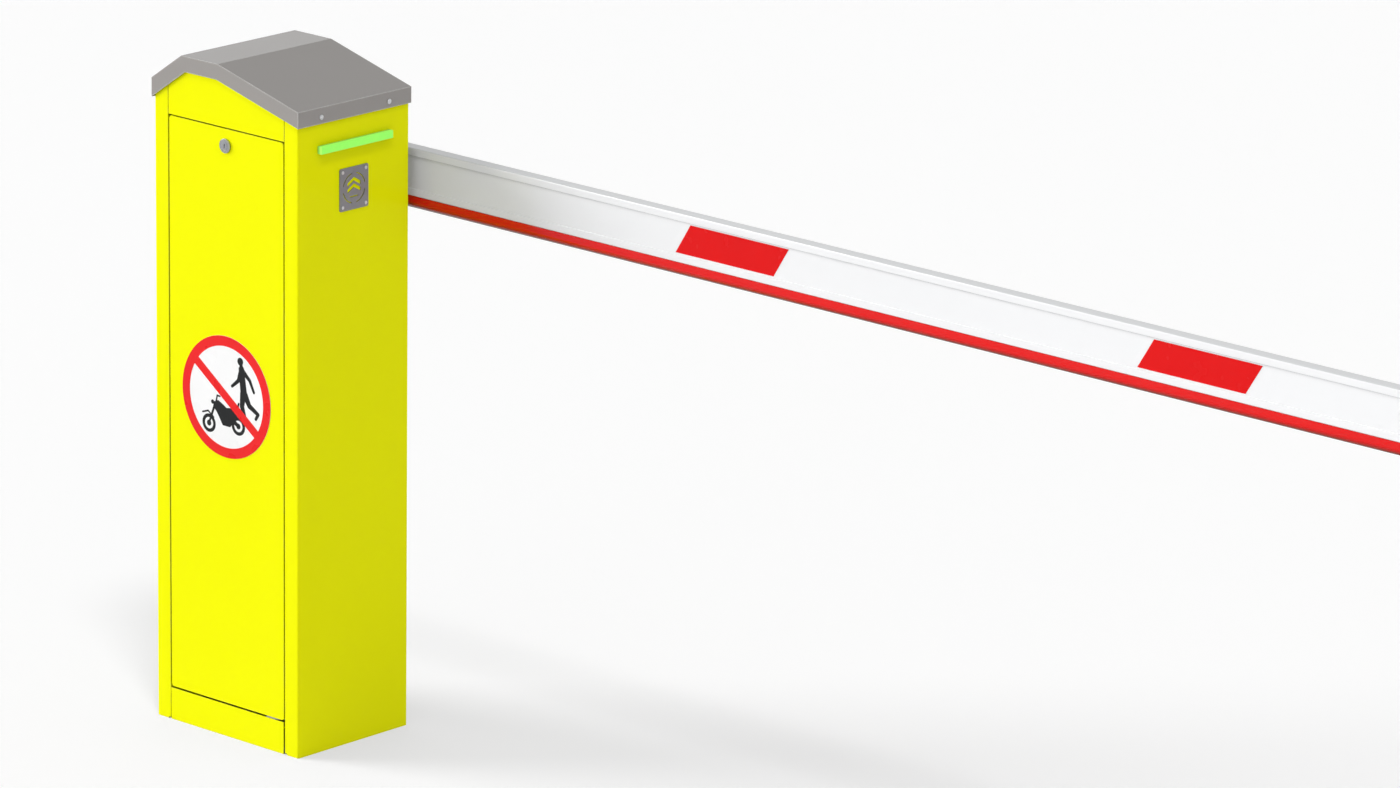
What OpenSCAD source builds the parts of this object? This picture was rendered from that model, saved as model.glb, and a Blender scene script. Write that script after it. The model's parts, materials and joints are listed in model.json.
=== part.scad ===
// Parking barrier gate: a folded-sheet cabinet with a swinging boom on its back.
// Millimetres, +Z up. The origin is the centre of the anchor-bolt pattern, on the ground.
// -Y is the door face, +X is the way the boom points, +Y is the side that carries the boom.

/* [Cabinet] */
// Width of the cabinet, side to side
body_w = 310; // [300:2:330]
// Depth of the cabinet, door face to boom face
body_d = 234; // [230:2:250]
// Thickness of the folded steel sheet
sheet = 2; // [1.5:0.5:2.5]
// Height of the roof's upper edge along the eaves
eave_z = 1016.5; // [1005:0.5:1030]
// Height of the roof's flat top
ridge_z = 1061.5; // [1055:0.5:1080]
// How far the roof stands out past the cabinet
roof_over = 3.3; // [3:0.1:6]
// Width of the roof's fascia band
fascia_w = 24.5; // [20:0.5:30]
// Width of the two flanges beside the door
flange_w = 28.8; // [26:0.1:32]

/* [Door] */
// Height of the door's lower edge
door_z0 = 54; // [54:1:60]
// Height of the door's upper edge
door_z1 = 963; // [955:1:965]
// Diameter of the round sign on the door
sign_dia = 192; // [150:5:220]
// Height of the sign's centre
sign_z = 543; // [400:1:700]

/* [Boom] */
// Whole length of the boom
boom_l = 3000; // [2500:50:3200]
// Height of the boom's aluminium profile
boom_h = 75; // [70:1:80]
// Thickness of the boom's aluminium profile
boom_t = 23; // [21:1:26]
// Gap between the cabinet's back and the boom
boom_gap = 22; // [22:1:28]
// Height of the boom's axis of rotation
shaft_z = 876.5; // [870:0.5:880]
// Height of the bumper strip under the boom
bumper_h = 21; // [18:1:24]

/* [Drive] */
// Distance from an axis of rotation to its pins
crank_r = 60; // [55:1:62]
// Height of the gearbox output axis
gear_z = 640; // [635:1:650]
// Diameter of the main shaft
shaft_dia = 30; // [28:1:32]

/* [Anchoring] */
// Distance between the anchor holes across the width
anchor_x = 220; // [200:5:240]
// Distance between the anchor holes across the depth
anchor_y = 150; // [120:5:160]
// Diameter of the anchor holes
anchor_dia = 14; // [12:1:16]
// Diameter of the cable entry
cable_dia = 60; // [40:5:80]

/* [Hidden] */
$fn = 64;
// Radial room of a static fit, of a running fit and of the linkage's open pivot
fit = 0.1;
run = 0.05;
open_fit = 0.3;

half_w = body_w / 2;
half_d = body_d / 2;
front_y = -half_d;
back_y = half_d;
tall = 1200;

// Roof line
roof_x = half_w + roof_over;
roof_y = half_d + roof_over;
ridge_x0 = -93;
ridge_x1 = -14;
slope_left = atan((ridge_z - eave_z) / (roof_x + ridge_x0));
slope_right = atan((ridge_z - eave_z) / (roof_x - ridge_x1));
// Vertical thickness of the roof sheet, and the room under it for the walls
roof_t = 2.4;
roof_room = 3.4;
roof_screw_y = 72;
roof_screw_z = 1001.5;
screw_r = 2.5;

// Front seams and the folds beside them
fold_r = 2.6;
seam_x = half_w - flange_w;
lip_d = 16;
relief_w = 4;
relief_h = 2.5;
joggle_y = 6;
panel_x = seam_x - 1.2;
door_x = seam_x - 2.8;
door_gap = 2;
upper_z0 = door_z1 + door_gap;
kick_z1 = door_z0 - 3;
door_depth = 15;
door_corner = 5;
pivot_y = front_y + 9;
pivot_z = door_z0 + 12;
pivot_r = 3;

// Lock
lock_z = 937;
lock_flange_r = 11.2;
lock_body_r = 9;
plug_r = 6;
lock_face = 3;
cam_y0 = front_y + 16;
cam_t = 3;
cam_l = 34;

// Light bar and badge on the +X face
bar_l = 152;
bar_h = 12;
bar_out = 9;
bar_z = 951;
badge_w = 61;
badge_h = 66.5;
badge_t = 1.5;
badge_z = 879.5;
rivet_r = 1.6;
rivet_y = badge_w / 2 - 6;
rivet_z = badge_h / 2 - 6;

// Frame
base_t = 10;
base_gap = 2;
plate_y0 = 24;
plate_y1 = 32;
plate_z0 = 600;
plate_z1 = 960;
plate_x = 140;
leg_w = 40;
leg_d = 50;
leg_t = 5;
leg_x = 146;
brace_z0 = 370;
brace_z1 = 430;
frame_bolt_x = 128;
frame_bolt_r = 4;

// Boom
boom_y0 = back_y + boom_gap;
boom_y1 = boom_y0 + boom_t;
boom_yc = (boom_y0 + boom_y1) / 2;
boom_z0 = shaft_z - boom_h / 2;
boom_z1 = shaft_z + boom_h / 2;
tail_x = -100;
tip_x = tail_x + boom_l;
boom_wall = 1.6;
recess_d = 1.5;
recess_h = 52;
cap_t = 6;
sticker_x = 688;
sticker_w = 195;
sticker_h = 46;
sticker_lean = 29;
sticker_pitch = 885;
sticker_t = 0.4;

// Main shaft, lever and stops
shaft_r = shaft_dia / 2;
shaft_y0 = -24;
hub_y0 = -20;
hub_y1 = 8;
lever_y1 = -8;
pin_r = 7;
pin_y0 = -44;
pin_y1 = -6;
end_y0 = -38;
end_y1 = -24;
bearing_r = 31;
bearing_w = 16;
housing_y1 = 100;
flange_y0 = back_y + 4;
flange_y1 = flange_y0 + 10;
lever_hub_r = 28;
lever_eye_r = 16;
stop_gap = lever_eye_r + 0.3;
stop_r = 7;
stop_l = 14;
stop_y = (hub_y0 + lever_y1) / 2;
arm_side = crank_r * cos(45);
sensor_r = 66;
flag_r = 72;
flag_angle = 100;
flag_y0 = 8.5;
flag_y1 = 16;

// Gearbox and motor
motor_x = 38;
motor_y = 69;
output_r = 12.5;

// Balance spring
spring_x = -arm_side;
spring_y = (end_y0 + end_y1) / 2;
spring_z0 = 409;
spring_z1 = 844;
wire_r = 3.2;
plug_in_coil_r = 14.8;
coil_r = 19.2;
coil_turns = 26;
coil_steps = 10;
wire_sides = 6;

// Electrical equipment
rail_z = 310;
breaker_x = 50;
breaker_w = 36;
toggle_y = -44;

// ---- Helpers ----

// Draws a flat (x, z) shape from y0 to y1
module along_y(y0, y1) {
    translate([0, y1, 0])
        rotate([90, 0, 0])
            linear_extrude(y1 - y0)
                children();
}

// Draws a flat (y, z) shape from x0 to x1
module along_x(x0, x1) {
    translate([x0, 0, 0])
        rotate([90, 0, 90])
            linear_extrude(x1 - x0)
                children();
}

// A round bar along Y, centred on (x, z)
module bar_y(x, z, r, y0, y1) {
    translate([x, y1, z])
        rotate([90, 0, 0])
            cylinder(h = y1 - y0, r = r);
}

// A round bar along X, centred on (y, z)
module bar_x(y, z, r, x0, x1) {
    translate([x0, y, z])
        rotate([0, 90, 0])
            cylinder(h = x1 - x0, r = r);
}

// A box given by its lowest and highest corners
module box(lo, hi) {
    translate(lo)
        cube(hi - lo);
}

// A hexagonal bar along Y
module hex_y(x, z, r, y0, y1) {
    translate([x, y1, z])
        rotate([90, 0, 0])
            cylinder(h = y1 - y0, r = r, $fn = 6);
}

// A rectangle centred on the origin, with round corners
module round_rect(w, h, r) {
    square([w - 2 * r, h], center = true);
    square([w, h - 2 * r], center = true);
    for (x = [-1, 1], y = [-1, 1])
        translate([x * (w / 2 - r), y * (h / 2 - r)])
            circle(r);
}

// A flat link along +X: two round ends and their common tangents
module link(length, r0, r1) {
    a = acos((r0 - r1) / length);
    circle(r0);
    translate([length, 0])
        circle(r1);
    polygon([
        [r0 * cos(a), r0 * sin(a)],
        [r0 * cos(a), -r0 * sin(a)],
        [length + r1 * cos(a), -r1 * sin(a)],
        [length + r1 * cos(a), r1 * sin(a)]]);
}

// A flat link with an eye at both ends and a hub in the middle
module double_link(length, r0, r1) {
    a = acos((r0 - r1) / length);
    hub = [r0 * cos(a), r0 * sin(a)];
    eye = [length + r1 * cos(a), r1 * sin(a)];
    circle(r0);
    for (side = [-1, 1])
        translate([side * length, 0])
            circle(r1);
    polygon([
        [-eye[0], eye[1]], [-hub[0], hub[1]], hub, eye,
        [eye[0], -eye[1]], [hub[0], -hub[1]], [-hub[0], -hub[1]], [-eye[0], -eye[1]]]);
}

// The space under the roof, which trims every wall
module under_roof() {
    along_y(-roof_y - 1, roof_y + 1)
        polygon([
            [-roof_x, -1],
            [-roof_x, eave_z - roof_room],
            [ridge_x0, ridge_z - roof_room],
            [ridge_x1, ridge_z - roof_room],
            [roof_x, eave_z - roof_room],
            [roof_x, -1]]);
}

// ---- Cabinet ----

module base_plate() {
    color("slategray")
        difference() {
            linear_extrude(base_t)
                round_rect(body_w - 2 * sheet - 1, body_d - 2 * sheet - 1, 4);
            for (x = [-1, 1], y = [-1, 1])
                translate([x * anchor_x / 2, y * anchor_y / 2, -1])
                    cylinder(h = base_t + 2, d = anchor_dia);
            translate([0, 0, -1])
                cylinder(h = base_t + 2, d = cable_dia);
        }
}

// A fold in plan: a quarter of a ring between the wall and the front flange
module fold() {
    translate([half_w - fold_r, front_y + fold_r])
        difference() {
            intersection() {
                circle(fold_r);
                translate([0, -fold_r])
                    square(fold_r);
            }
            circle(fold_r - sheet);
        }
}

// One folded side before its top is trimmed: wall, front flange and the lip behind the flange
module side_sheet() {
    difference() {
        union() {
            linear_extrude(tall)
                union() {
                    translate([half_w - sheet, front_y + fold_r])
                        square([sheet, body_d - fold_r]);
                    translate([seam_x, front_y])
                        square([flange_w - fold_r, sheet]);
                    fold();
                }
            box([seam_x, front_y, base_t + base_gap], [seam_x + sheet, front_y + lip_d, tall]);
        }
        for (y = [-1, 1])
            bar_x(y * roof_screw_y, roof_screw_z, screw_r + fit, half_w - 5, half_w + 1);
        bar_x(pivot_y, pivot_z, pivot_r + fit, seam_x - 1, seam_x + sheet + 1);
        box([seam_x - 1, front_y - 1, -1], [seam_x + relief_w, front_y + lip_d, relief_h]);
    }
}

module left_side_panel() {
    color([0.95, 0.95, 0.05])
        intersection() {
            mirror([1, 0, 0])
                side_sheet();
            under_roof();
        }
}

module right_side_panel() {
    color([0.95, 0.95, 0.05])
        difference() {
            intersection() {
                side_sheet();
                under_roof();
            }
            box([half_w - 5, -bar_l / 2 + 4, bar_z - 3], [half_w + 1, bar_l / 2 - 4, bar_z + 3]);
            badge_holes();
        }
}

module rear_panel() {
    color([0.95, 0.95, 0.05])
        difference() {
            intersection() {
                box([-half_w + sheet, back_y - sheet, 0], [half_w - sheet, back_y, tall]);
                under_roof();
            }
            bar_y(0, shaft_z, shaft_r + 10, back_y - 5, back_y + 1);
        }
}

// Joggled edge of a fixed front panel, in plan: it steps back and meets the flange's lip
module joggle(edge_x) {
    translate([edge_x - sheet, front_y])
        square([sheet, joggle_y + sheet]);
    translate([edge_x - sheet, front_y + joggle_y])
        square([seam_x - edge_x + sheet, sheet]);
}

module upper_panel() {
    shelf_d = 14;
    color([0.95, 0.95, 0.05])
        intersection() {
            union() {
                box([-panel_x, front_y, upper_z0], [panel_x, front_y + sheet, tall]);
                box([-panel_x, front_y, upper_z0], [panel_x, front_y + shelf_d, upper_z0 + sheet]);
                for (side = [0, 1])
                    mirror([side, 0, 0])
                        translate([0, 0, upper_z0])
                            linear_extrude(tall - upper_z0)
                                joggle(panel_x);
            }
            under_roof();
        }
}

// The right-hand gap of the kick plate is wider than the left-hand one and shows the dark inside
module kick_plate() {
    right_gap = 3.6;
    color([0.95, 0.95, 0.05])
        union() {
            box([-panel_x, front_y, 0], [seam_x - right_gap, front_y + sheet, kick_z1]);
            translate([0, 0, base_t + base_gap])
                linear_extrude(kick_z1 - 2 * base_t)
                    mirror([1, 0, 0])
                        joggle(panel_x);
            translate([0, 0, kick_z1 - base_t])
                linear_extrude(sheet)
                    joggle(seam_x - right_gap);
        }
}

// ---- Roof ----

module roof_outline() {
    polygon([
        [-roof_x, eave_z - fascia_w / cos(slope_left)],
        [-roof_x, eave_z],
        [ridge_x0, ridge_z],
        [ridge_x1, ridge_z],
        [roof_x, eave_z],
        [roof_x, eave_z - fascia_w / cos(slope_right)]]);
}

module roof_inside() {
    polygon([
        [-roof_x + sheet, eave_z - 2 * fascia_w],
        [-roof_x + sheet, eave_z - roof_t + sheet * tan(slope_left)],
        [ridge_x0, ridge_z - roof_t],
        [ridge_x1, ridge_z - roof_t],
        [roof_x - sheet, eave_z - roof_t + sheet * tan(slope_right)],
        [roof_x - sheet, eave_z - 2 * fascia_w]]);
}

// The band that follows the roof line on the front and the back
module fascia_band() {
    polygon([
        [-roof_x, eave_z - fascia_w / cos(slope_left)],
        [-roof_x, eave_z],
        [ridge_x0, ridge_z],
        [ridge_x1, ridge_z],
        [roof_x, eave_z],
        [roof_x, eave_z - fascia_w / cos(slope_right)],
        [ridge_x1 - fascia_w * tan(slope_right / 2), ridge_z - fascia_w],
        [ridge_x0 + fascia_w * tan(slope_left / 2), ridge_z - fascia_w]]);
}

module roof_cap() {
    color([0.55, 0.53, 0.52])
        difference() {
            union() {
                along_y(-roof_y, roof_y)
                    difference() {
                        roof_outline();
                        roof_inside();
                    }
                along_y(-roof_y, -roof_y + sheet)
                    fascia_band();
                along_y(roof_y - sheet, roof_y)
                    fascia_band();
            }
            for (y = [-1, 1])
                bar_x(y * roof_screw_y, roof_screw_z, screw_r + fit, -roof_x - 1, roof_x + 1);
        }
}

module roof_screws() {
    head_r = 4;
    head_h = 2;
    color("gainsboro")
        for (side = [0, 1], y = [-1, 1])
            mirror([side, 0, 0])
                union() {
                    bar_x(y * roof_screw_y, roof_screw_z, head_r, roof_x, roof_x + head_h);
                    bar_x(y * roof_screw_y, roof_screw_z, screw_r, half_w - 8, roof_x + 1);
                }
}

// ---- Light bar and badge ----

module light_bar() {
    color([0.5, 1, 0.4])
        union() {
            along_x(half_w, half_w + bar_out)
                translate([0, bar_z])
                    square([bar_l, bar_h], center = true);
            along_x(half_w - 3.5, half_w + 1)
                translate([0, bar_z])
                    square([bar_l - 8.4, 5.6], center = true);
        }
}

module light_board() {
    led_pitch = 16;
    board_x = half_w - 6;
    color("darkgreen")
        union() {
            along_x(board_x - 1.6, board_x)
                translate([0, bar_z])
                    square([bar_l + 4, 16], center = true);
            for (i = [-4 : 4])
                along_x(board_x - 0.2, board_x + 1.2)
                    translate([i * led_pitch, bar_z])
                        square([5, 5], center = true);
        }
}

module badge_holes() {
    for (y = [-1, 1], z = [-1, 1])
        bar_x(y * rivet_y, badge_z + z * rivet_z, rivet_r + fit, half_w - 5, half_w + 5);
}

// A broken ring, two chevrons and a bar, cut right through the plate
module emblem() {
    ring_r = 24;
    ring_w = 1.7;
    difference() {
        circle(ring_r);
        circle(ring_r - ring_w);
        for (a = [0, 90])
            rotate(a)
                square([2 * ring_r + 2, 10], center = true);
    }
    for (h = [-1, 9])
        translate([0, h])
            polygon([[-14, 0], [0, 8], [14, 0], [14, -6], [0, 2], [-14, -6]]);
    translate([0, -13])
        square([18, 2], center = true);
}

module badge_plate() {
    color([0.6, 0.61, 0.62])
        difference() {
            along_x(half_w, half_w + badge_t)
                translate([0, badge_z])
                    difference() {
                        round_rect(badge_w, badge_h, 3);
                        emblem();
                    }
            badge_holes();
        }
}

module badge_rivets() {
    color("silver")
        for (y = [-1, 1], z = [-1, 1])
            union() {
                bar_x(y * rivet_y, badge_z + z * rivet_z, 2.8, half_w + badge_t, half_w + badge_t + 1.2);
                bar_x(y * rivet_y, badge_z + z * rivet_z, rivet_r, half_w - 4, half_w + badge_t + 1);
            }
}

// ---- Frame ----

module uprights() {
    color("dimgray")
        for (side = [0, 1])
            mirror([side, 0, 0])
                difference() {
                    union() {
                        box([leg_x - leg_w, plate_y1, base_t], [leg_x, plate_y1 + leg_t, plate_z1]);
                        box([leg_x - leg_t, plate_y1, base_t], [leg_x, plate_y1 + leg_d, plate_z1]);
                    }
                    for (z = frame_bolt_z)
                        bar_y(frame_bolt_x, z, frame_bolt_r + fit, plate_y1 - 1, plate_y1 + leg_t + 1);
                }
}

// Heights of the bolts that hold the plates to the uprights
frame_bolt_z = [80, 350, 400, 620, 780, 940];

// Holes for the frame bolts that lie between two heights
module frame_bolt_holes(z0, z1) {
    for (side = [-1, 1], z = frame_bolt_z)
        if (z > z0 && z < z1)
            bar_y(side * frame_bolt_x, z, frame_bolt_r + fit, plate_y0 - 1, plate_y1 + 1);
}

module mechanism_plate() {
    color("gray")
        difference() {
            box([-plate_x, plate_y0, plate_z0], [plate_x, plate_y1, plate_z1]);
            frame_bolt_holes(plate_z0, plate_z1);
            bar_y(0, shaft_z, 33, plate_y0 - 1, plate_y1 + 1);
            bar_y(0, gear_z, 24, plate_y0 - 1, plate_y1 + 1);
            for (a = [flag_angle, flag_angle + 90])
                bar_y(sensor_r * cos(a), shaft_z + sensor_r * sin(a), 6 + fit, plate_y0 - 1, plate_y1 + 1);
        }
}

module cross_brace() {
    color("gray")
        difference() {
            box([-plate_x, plate_y1 - 6, brace_z0], [plate_x, plate_y1, brace_z1]);
            frame_bolt_holes(brace_z0, brace_z1);
        }
}

module equipment_panel() {
    color("silver")
        difference() {
            box([-plate_x, plate_y1 - sheet, 60], [plate_x, plate_y1, brace_z0 - 4]);
            frame_bolt_holes(60, brace_z0 - 4);
        }
}

// Face that each frame bolt's head sits on
function seat_y(z) = z > plate_z0 ? plate_y0 : z > brace_z0 ? plate_y1 - 6 : plate_y1 - sheet;

module frame_bolts() {
    color("gainsboro")
        for (side = [-1, 1], z = frame_bolt_z)
            union() {
                hex_y(side * frame_bolt_x, z, 7, seat_y(z) - 5, seat_y(z));
                bar_y(side * frame_bolt_x, z, frame_bolt_r, seat_y(z) - 2, plate_y1 + leg_t + 6);
            }
}

// ---- Main shaft bearings ----

module bearing_housing() {
    color("darkslategray")
        difference() {
            union() {
                bar_y(0, shaft_z, 42, plate_y1, housing_y1);
                along_y(plate_y1, plate_y1 + 10)
                    translate([0, shaft_z])
                        round_rect(104, 104, 12);
            }
            bar_y(0, shaft_z, bearing_r + fit, plate_y1 - 1, housing_y1 + 1);
        }
}

module shaft_bearings() {
    color("lightsteelblue")
        for (y = [plate_y1 + 6, housing_y1 - 6 - bearing_w])
            difference() {
                bar_y(0, shaft_z, bearing_r, y, y + bearing_w);
                bar_y(0, shaft_z, shaft_r + run, y - 1, y + bearing_w + 1);
            }
}

module shaft_seal() {
    color("black")
        difference() {
            union() {
                bar_y(0, shaft_z, shaft_r + 10 - fit, back_y - 4, back_y + 1);
                bar_y(0, shaft_z, shaft_r + 13, back_y, back_y + 2);
            }
            bar_y(0, shaft_z, shaft_r + run, back_y - 5, back_y + 3);
        }
}

// ---- Gearbox and motor ----

module gearbox() {
    color("slategray")
        difference() {
            union() {
                bar_y(0, gear_z, 46, plate_y1 + 8, 98);
                bar_y(0, gear_z, 22, plate_y0 + 2, plate_y1 + 10);
                along_y(plate_y1, plate_y1 + 9)
                    translate([8, gear_z - 2])
                        round_rect(120, 76, 10);
                translate([motor_x, motor_y, 592])
                    cylinder(h = 98, r = 26);
                translate([motor_x, motor_y, 584])
                    cylinder(h = 10, r = 33);
                box([10, motor_y - 24, 600], [motor_x, motor_y + 24, 680]);
            }
            bar_y(0, gear_z, output_r + run, plate_y0, 82);
        }
}

module motor() {
    fins = 20;
    color("steelblue")
        translate([motor_x, motor_y, 0])
            union() {
                translate([0, 0, 440])
                    cylinder(h = 144, r = 31);
                translate([0, 0, 576])
                    cylinder(h = 8, r = 33);
                for (i = [0 : fins - 1])
                    rotate(i * 360 / fins)
                        translate([29, -1, 448])
                            cube([5, 2, 124]);
                box([-58, -16, 490], [-28, 16, 540]);
            }
}

module motor_fan_cover() {
    color("dimgray")
        translate([motor_x, motor_y, 0])
            difference() {
                translate([0, 0, 402])
                    cylinder(h = 38, r = 35);
                translate([0, 0, 405])
                    cylinder(h = 40, r = 33);
                for (a = [0 : 45 : 315])
                    rotate(a)
                        translate([10, -2, 400])
                            cube([18, 4, 6]);
            }
}

// ---- Stops and sensors ----

// The lever's two stop positions: +Z leads away from the pin, square to the lever's straight edge
module at_stops() {
    taper = asin((lever_hub_r - lever_eye_r) / crank_r);
    for (side = [0, 1])
        translate([0, stop_y, shaft_z])
            mirror([0, 0, side])
                translate([arm_side, 0, arm_side])
                    rotate([0, taper - 45, 0])
                        translate([-stop_r - 1, 0, 0])
                            children();
}

module stop_brackets() {
    bracket_half = 10;
    color("gray")
        at_stops()
            box([-bracket_half, -stop_r, stop_gap + stop_l],
                [bracket_half, plate_y0 - stop_y, stop_gap + stop_l + 6]);
}

module stop_buffers() {
    color("black")
        at_stops()
            translate([0, 0, stop_gap])
                cylinder(h = stop_l, r = stop_r);
}

module limit_sensors() {
    color("gold")
        for (a = [flag_angle, flag_angle + 90])
            bar_y(sensor_r * cos(a), shaft_z + sensor_r * sin(a), 6, flag_y1 + 2, 72);
}

// Nuts of the sensors, both sides of the plate, and of the spring's tension rod
module m12_nuts() {
    nut_r = 9;
    color("gainsboro") {
        for (a = [flag_angle, flag_angle + 90], y = [plate_y0 - 4, plate_y1])
            difference() {
                hex_y(sensor_r * cos(a), shaft_z + sensor_r * sin(a), nut_r, y, y + 4);
                bar_y(sensor_r * cos(a), shaft_z + sensor_r * sin(a), 6 + fit, y - 1, y + 5);
            }
        for (z = [370, 388])
            translate([spring_x, spring_y, z])
                difference() {
                    cylinder(h = 10, r = nut_r + 1, $fn = 6);
                    translate([0, 0, -1])
                        cylinder(h = 12, r = 6 + fit);
                }
    }
}

// ---- Balance spring ----

module spring_bracket() {
    half = 30;
    color("gray")
        difference() {
            union() {
                box([spring_x - half, plate_y1 - 14, 380], [spring_x + half, plate_y1 - 6, brace_z1]);
                box([spring_x - half, spring_y - 20, 380], [spring_x + half, plate_y1 - 6, 388]);
                for (x = [-half, half - 5])
                    along_x(spring_x + x, spring_x + x + 5)
                        polygon([[plate_y1 - 12, 386], [plate_y1 - 12, 425], [-8, 386]]);
            }
            translate([spring_x, spring_y, 379])
                cylinder(h = 10, r = 6 + fit);
        }
}

module tension_rod() {
    color("silver")
        translate([spring_x, spring_y, 0])
            union() {
                translate([0, 0, 352])
                    cylinder(h = 60, r = 6);
                translate([0, 0, spring_z0 - 7])
                    cylinder(h = 6, r = 22);
                translate([0, 0, spring_z0 - 3])
                    cylinder(h = 28, r = plug_in_coil_r);
            }
}

// Points of the spring's wire: one ring of the wire's section for each step along the coil
spring_rings = coil_turns * coil_steps;
spring_rise = spring_z1 - spring_z0 - 2 * wire_r;
function wire_point(i, j) =
    let (turn = 360 * i / coil_steps, side = 360 * j / wire_sides, r = coil_r + wire_r * cos(side))
    [r * cos(turn), r * sin(turn), wire_r + spring_rise * i / spring_rings + wire_r * sin(side)];

module balance_spring() {
    last = spring_rings * wire_sides;
    color("firebrick")
        translate([spring_x, spring_y, spring_z0])
            polyhedron(
                points = [for (i = [0 : spring_rings], j = [0 : wire_sides - 1]) wire_point(i, j)],
                faces = concat(
                    [[for (j = [0 : wire_sides - 1]) j]],
                    [[for (j = [0 : wire_sides - 1]) last + wire_sides - 1 - j]],
                    [for (i = [0 : spring_rings - 1], j = [0 : wire_sides - 1])
                        let (a = i * wire_sides + j, b = i * wire_sides + (j + 1) % wire_sides)
                        [a, a + wire_sides, b + wire_sides]],
                    [for (i = [0 : spring_rings - 1], j = [0 : wire_sides - 1])
                        let (a = i * wire_sides + j, b = i * wire_sides + (j + 1) % wire_sides)
                        [a, b + wire_sides, b]]));
}

module spring_yoke() {
    color("silver")
        difference() {
            union() {
                bar_y(spring_x, shaft_z + arm_side, 15, end_y0, end_y1);
                translate([spring_x, spring_y, spring_z1 + 2])
                    cylinder(h = shaft_z + arm_side - spring_z1 - 8, r = 7);
                translate([spring_x, spring_y, spring_z1 + 1])
                    cylinder(h = 6, r = 22);
                translate([spring_x, spring_y, spring_z1 - 26])
                    cylinder(h = 30, r = plug_in_coil_r);
            }
            bar_y(spring_x, shaft_z + arm_side, pin_r + run, end_y0 - 1, end_y1 + 1);
        }
}

// ---- Electrical equipment ----

module controller_box() {
    color([0.8, 0.8, 0.8])
        difference() {
            along_y(-38, plate_y1 - sheet)
                translate([-15, 175])
                    round_rect(170, 160, 8);
            along_y(-39, plate_y1 - sheet - 4)
                translate([-15, 175])
                    round_rect(162, 152, 5);
        }
}

module controller_lid() {
    color([0.86, 0.86, 0.86])
        union() {
            along_y(-50, -38)
                translate([-15, 175])
                    round_rect(170, 160, 8);
            for (x = [-1, 1], z = [-1, 1])
                bar_y(-15 + x * 76, 175 + z * 71, 4, -51, -49);
        }
}

module cable_glands() {
    color("dimgray")
        for (i = [-1 : 1])
            translate([-15 + 45 * i, -5, 0])
                union() {
                    translate([0, 0, 82])
                        cylinder(h = 13, r = 10, $fn = 6);
                    translate([0, 0, 72])
                        cylinder(h = 11, r = 8);
                }
}

module din_rail() {
    color("silver")
        along_x(-120, 120)
            translate([plate_y1 - sheet, rail_z])
                polygon([
                    [0, -12.5], [-6, -12.5], [-6, -17.5], [-7.5, -17.5], [-7.5, -11], [-1.5, -11],
                    [-1.5, 11], [-7.5, 11], [-7.5, 17.5], [-6, 17.5], [-6, 12.5], [0, 12.5]]);
}

module terminal_blocks() {
    count = 10;
    rail_y = plate_y1 - sheet - 7.5;
    color("beige")
        for (i = [0 : count - 1])
            along_x(-105 + 12 * i, -105 + 12 * i + 11.5)
                polygon([
                    [rail_y, rail_z - 22], [rail_y - 16, rail_z - 22], [rail_y - 34, rail_z - 8],
                    [rail_y - 34, rail_z + 8], [rail_y - 16, rail_z + 22], [rail_y, rail_z + 22]]);
}

module circuit_breaker() {
    rail_y = plate_y1 - sheet - 7.5;
    color("whitesmoke")
        difference() {
            along_x(breaker_x, breaker_x + breaker_w)
                polygon([
                    [rail_y, rail_z - 40], [rail_y - 45, rail_z - 40], [rail_y - 45, rail_z - 22],
                    [toggle_y - 4, rail_z - 22], [toggle_y - 4, rail_z + 22], [rail_y - 45, rail_z + 22],
                    [rail_y - 45, rail_z + 40], [rail_y, rail_z + 40]]);
            bar_x(toggle_y, rail_z, 7, breaker_x + 6, breaker_x + breaker_w - 6);
            box([breaker_x + 6, toggle_y - 10, rail_z - 16], [breaker_x + breaker_w - 6, toggle_y, rail_z + 16]);
        }
}

module breaker_toggle() {
    color("black")
        union() {
            bar_x(toggle_y, rail_z, 6, breaker_x + 7, breaker_x + breaker_w - 7);
            translate([breaker_x + 7, toggle_y, rail_z])
                rotate([60, 0, 0])
                    translate([0, -2.5, 0])
                        cube([breaker_w - 14, 5, 17]);
        }
}

// ---- Main shaft, lever and boom ----

module main_shaft() {
    color("silver")
        union() {
            bar_y(0, shaft_z, shaft_r, shaft_y0, flange_y0 + 1);
            bar_y(0, shaft_z, 40, flange_y0, flange_y1);
        }
}

// Double lever: the rod's pin at -45 degrees, the spring's pin opposite
module shaft_lever() {
    color("darkgray")
        difference() {
            union() {
                along_y(hub_y0, lever_y1)
                    translate([0, shaft_z])
                        rotate(-45)
                            double_link(crank_r, lever_hub_r, lever_eye_r);
                bar_y(0, shaft_z, 24, lever_y1 - 1, hub_y1);
            }
            bar_y(0, shaft_z, shaft_r + fit, hub_y0 - 1, hub_y1 + 1);
            for (a = [-45, 135])
                bar_y(crank_r * cos(a), shaft_z + crank_r * sin(a), pin_r + fit, hub_y0 - 1, hub_y1 + 1);
        }
}

module lever_pins() {
    color("gainsboro")
        for (a = [-45, 135])
            union() {
                bar_y(crank_r * cos(a), shaft_z + crank_r * sin(a), pin_r, pin_y0, pin_y1);
                bar_y(crank_r * cos(a), shaft_z + crank_r * sin(a), pin_r + 3, pin_y0, end_y0 - 1);
            }
}

module sensor_flag() {
    spread = 12;
    reach = 2 * flag_r;
    color("silver")
        along_y(flag_y0, flag_y1)
            translate([0, shaft_z])
                difference() {
                    union() {
                        circle(26);
                        intersection() {
                            circle(flag_r);
                            rotate(flag_angle)
                                polygon([
                                    [0, 0],
                                    [reach * cos(spread), reach * sin(spread)],
                                    [reach * cos(spread), -reach * sin(spread)]]);
                        }
                    }
                    circle(shaft_r + fit);
                }
}

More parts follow.
